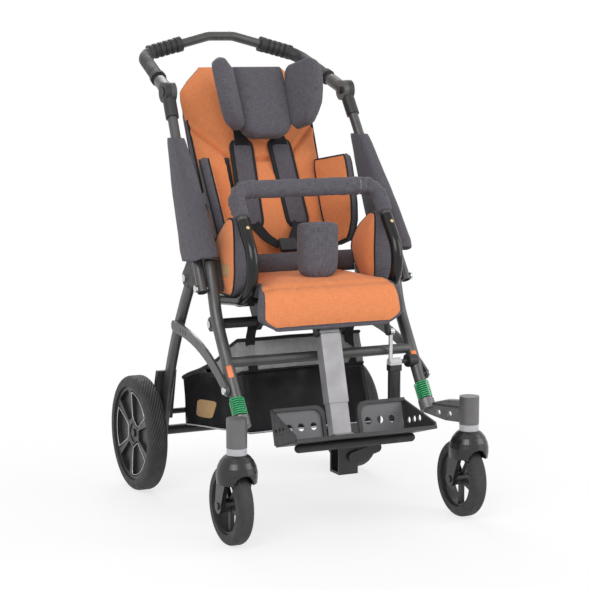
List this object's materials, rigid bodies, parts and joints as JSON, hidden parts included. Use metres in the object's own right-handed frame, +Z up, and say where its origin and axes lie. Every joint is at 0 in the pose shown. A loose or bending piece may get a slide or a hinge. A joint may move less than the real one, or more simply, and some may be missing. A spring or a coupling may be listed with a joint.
{
  "type": "special needs buggy",
  "caption": "Folding special needs buggy with padded tilting seat, reclining back, headrest, grab bar, pommel, legrest with footplate, push handle, sprung casters and basket.",
  "frame": {"origin": "on the floor under the middle of the overall box", "axes": "+Z up, -Y towards the front where the footplate is, +X towards the child's left"},
  "size_m": [0.68, 0.8376, 1.127],
  "materials": {
    "frame_paint": "satin graphite paint",
    "black_metal": "satin black paint",
    "arm_paint": "gloss black paint",
    "handle_paint": "satin black paint",
    "arm_casting": "satin grey",
    "post_metal": "brushed grey",
    "bolt_steel": "bright",
    "button_brass": "bright",
    "spring_green": "gloss green",
    "black_plastic": "matte",
    "fork_plastic": "gloss",
    "rim_plastic": "satin",
    "tyre_rubber": "matte",
    "grip_rubber": "matte",
    "orange_fabric": "woven",
    "grey_fabric": "woven",
    "basket_fabric": "woven"
  },
  "bodies": {
    "frame": {"front_tube_right": "frame_paint", "front_tube_left": "frame_paint", "front_crossbar": "frame_paint", "seat_crossbar": "frame_paint", "hinge_housings": "black_plastic", "upper_tube_right": "frame_paint", "upper_tube_left": "frame_paint", "tube_covers": "grey_fabric", "handle_joints": "black_plastic", "frame_bolts": "bolt_steel", "gas_bracket": "black_metal", "basket": "basket_fabric"},
    "rear_frame": {"rear_leg_right": "frame_paint", "rear_leg_left": "frame_paint", "rear_axle_tube": "black_metal", "brake_housings": "black_plastic"},
    "links": {"fold_links": "frame_paint"},
    "rear_wheel_right": {"rear_tyre_right": "tyre_rubber", "rear_rim_right": "rim_plastic"},
    "rear_wheel_left": {"rear_tyre_left": "tyre_rubber", "rear_rim_left": "rim_plastic"},
    "brake": {"brake_pedal": "black_metal"},
    "caster_arm_right": {"caster_arm_right": "arm_casting", "suspension_spring_right": "spring_green"},
    "caster_arm_left": {"caster_arm_left": "arm_casting", "suspension_spring_left": "spring_green"},
    "caster_fork_right": {"caster_fork_right": "fork_plastic"},
    "caster_fork_left": {"caster_fork_left": "fork_plastic"},
    "caster_wheel_right": {"caster_tyre_right": "tyre_rubber", "caster_rim_right": "rim_plastic"},
    "caster_wheel_left": {"caster_tyre_left": "tyre_rubber", "caster_rim_left": "rim_plastic"},
    "handle": {"push_handle": "handle_paint", "handle_grips": "grip_rubber"},
    "button_right": {"handle_button_right": "black_plastic"},
    "button_left": {"handle_button_left": "black_plastic"},
    "seat": {"seat_frame": "black_metal", "seat_pad": "orange_fabric", "hip_pads": "orange_fabric", "arm_tube_right": "arm_paint", "arm_tube_left": "arm_paint", "lap_belt": "grey_fabric"},
    "back": {"back_shell": "black_plastic", "back_pad": "orange_fabric", "lateral_pads": "orange_fabric", "shoulder_harness": "grey_fabric"},
    "headrest": {"headrest": "grey_fabric", "headrest_stem": "black_metal"},
    "grab": {"grab_bar": "handle_paint", "grab_bar_cover": "grey_fabric"},
    "snaps": {"snap_buttons": "button_brass"},
    "pommel": {"pommel": "grey_fabric"},
    "legrest": {"legrest_post": "post_metal"},
    "footrest": {"footrest_tube": "post_metal", "clamp_bracket": "black_metal"},
    "footplate": {"footplate": "black_plastic", "bumper_rod": "grip_rubber"},
    "lever": {"clamp_lever": "black_metal"},
    "gas_cylinder": {"gas_cylinder": "black_metal"},
    "gas_rod": {"gas_rod": "bolt_steel"}
  },
  "joints": [
    {"name": "rear_fold", "type": "hinge", "parent": "frame", "child": "rear_frame", "pos_m": [0, 0.045, 0.548], "axis": [-1, 0, 0], "range_deg": [0, 40], "deforming": ["basket"]},
    {"name": "link_swing", "type": "hinge", "parent": "frame", "child": "links", "pos_m": [0, -0.21907, 0.323], "axis": [1, 0, 0], "range_deg": [0, 4]},
    {"name": "rear_spin_right", "type": "hinge", "parent": "rear_frame", "child": "rear_wheel_right", "pos_m": [-0.292, 0.244, 0.142], "axis": [1, 0, 0], "continuous": true},
    {"name": "rear_spin_left", "type": "hinge", "parent": "rear_frame", "child": "rear_wheel_left", "pos_m": [0.292, 0.244, 0.142], "axis": [1, 0, 0], "continuous": true},
    {"name": "brake_press", "type": "hinge", "parent": "rear_frame", "child": "brake", "pos_m": [0, 0.244, 0.188], "axis": [-1, 0, 0], "range_deg": [0, 20]},
    {"name": "suspension_right", "type": "slide", "parent": "frame", "child": "caster_arm_right", "axis": [0, 0.5505, 0.8348], "range_m": [0, 0.012], "stiffness_N_per_m": 15000, "springref_m": -0.012, "deforming": ["suspension_spring_right"]},
    {"name": "caster_swivel_right", "type": "hinge", "parent": "caster_arm_right", "child": "caster_fork_right", "pos_m": [-0.294, -0.36, 0.225], "axis": [0, 0, 1], "continuous": true},
    {"name": "caster_spin_right", "type": "hinge", "parent": "caster_fork_right", "child": "caster_wheel_right", "pos_m": [-0.294, -0.329, 0.09], "axis": [1, 0, 0], "continuous": true},
    {"name": "suspension_left", "type": "slide", "parent": "frame", "child": "caster_arm_left", "axis": [0, 0.5505, 0.8348], "range_m": [0, 0.012], "stiffness_N_per_m": 15000, "springref_m": -0.012, "deforming": ["suspension_spring_left"]},
    {"name": "caster_swivel_left", "type": "hinge", "parent": "caster_arm_left", "child": "caster_fork_left", "pos_m": [0.294, -0.36, 0.225], "axis": [0, 0, 1], "continuous": true},
    {"name": "caster_spin_left", "type": "hinge", "parent": "caster_fork_left", "child": "caster_wheel_left", "pos_m": [0.294, -0.329, 0.09], "axis": [1, 0, 0], "continuous": true},
    {"name": "handle_tilt", "type": "hinge", "parent": "frame", "child": "handle", "pos_m": [0, 0.165, 0.981], "axis": [1, 0, 0], "range_deg": [-60, 45]},
    {"name": "handle_button_press_right", "type": "slide", "parent": "handle", "child": "button_right", "axis": [-1, 0, 0], "range_m": [0, 0.004], "stiffness_N_per_m": 800},
    {"name": "handle_button_press_left", "type": "slide", "parent": "handle", "child": "button_left", "axis": [1, 0, 0], "range_m": [0, 0.004], "stiffness_N_per_m": 800},
    {"name": "seat_tilt", "type": "hinge", "parent": "frame", "child": "seat", "pos_m": [0, -0.094, 0.456], "axis": [-1, 0, 0], "range_deg": [0, 25]},
    {"name": "back_recline", "type": "hinge", "parent": "seat", "child": "back", "pos_m": [0, 0.048, 0.54], "axis": [-1, 0, 0], "range_deg": [-5, 35]},
    {"name": "headrest_height", "type": "slide", "parent": "back", "child": "headrest", "axis": [0, 0.4258, 0.9048], "range_m": [0, 0.06]},
    {"name": "grab_bar_lift", "type": "slide", "parent": "seat", "child": "grab", "axis": [0, 0.6054, 0.7959], "range_m": [0, 0.06]},
    {"name": "snap_press", "type": "slide", "parent": "seat", "child": "snaps", "axis": [0, 0.7959, -0.6054], "range_m": [0, 0.0025], "stiffness_N_per_m": 600},
    {"name": "pommel_lift", "type": "slide", "parent": "seat", "child": "pommel", "axis": [0, 0, 1], "range_m": [0, 0.04]},
    {"name": "legrest_angle", "type": "hinge", "parent": "seat", "child": "legrest", "pos_m": [0, -0.213, 0.44], "axis": [-1, 0, 0], "range_deg": [0, 60]},
    {"name": "footrest_height", "type": "slide", "parent": "legrest", "child": "footrest", "axis": [0, -0.2807, -0.9598], "range_m": [0, 0.08]},
    {"name": "footplate_flip", "type": "hinge", "parent": "footrest", "child": "footplate", "pos_m": [0, -0.3, 0.209], "axis": [-1, 0, 0], "range_deg": [0, 70]},
    {"name": "lever_swing", "type": "hinge", "parent": "footrest", "child": "lever", "pos_m": [0.008, -0.322, 0.1674], "axis": [0, 1, 0], "range_deg": [0, 50]},
    {"name": "gas_swing", "type": "hinge", "parent": "frame", "child": "gas_cylinder", "pos_m": [0.18, -0.206, 0.354], "axis": [1, 0, 0], "range_deg": [0, 1]},
    {"name": "gas_slide", "type": "slide", "parent": "gas_cylinder", "child": "gas_rod", "axis": [0, 0, 1], "range_m": [0, 0.0505]}
  ],
  "couplings": [
    {"joint": "link_swing", "follows": "rear_fold", "ratio": 0.08},
    {"joint": "gas_swing", "follows": "seat_tilt", "ratio": 0.024},
    {"joint": "gas_slide", "follows": "seat_tilt", "m_per_rad": 0.1144}
  ]
}
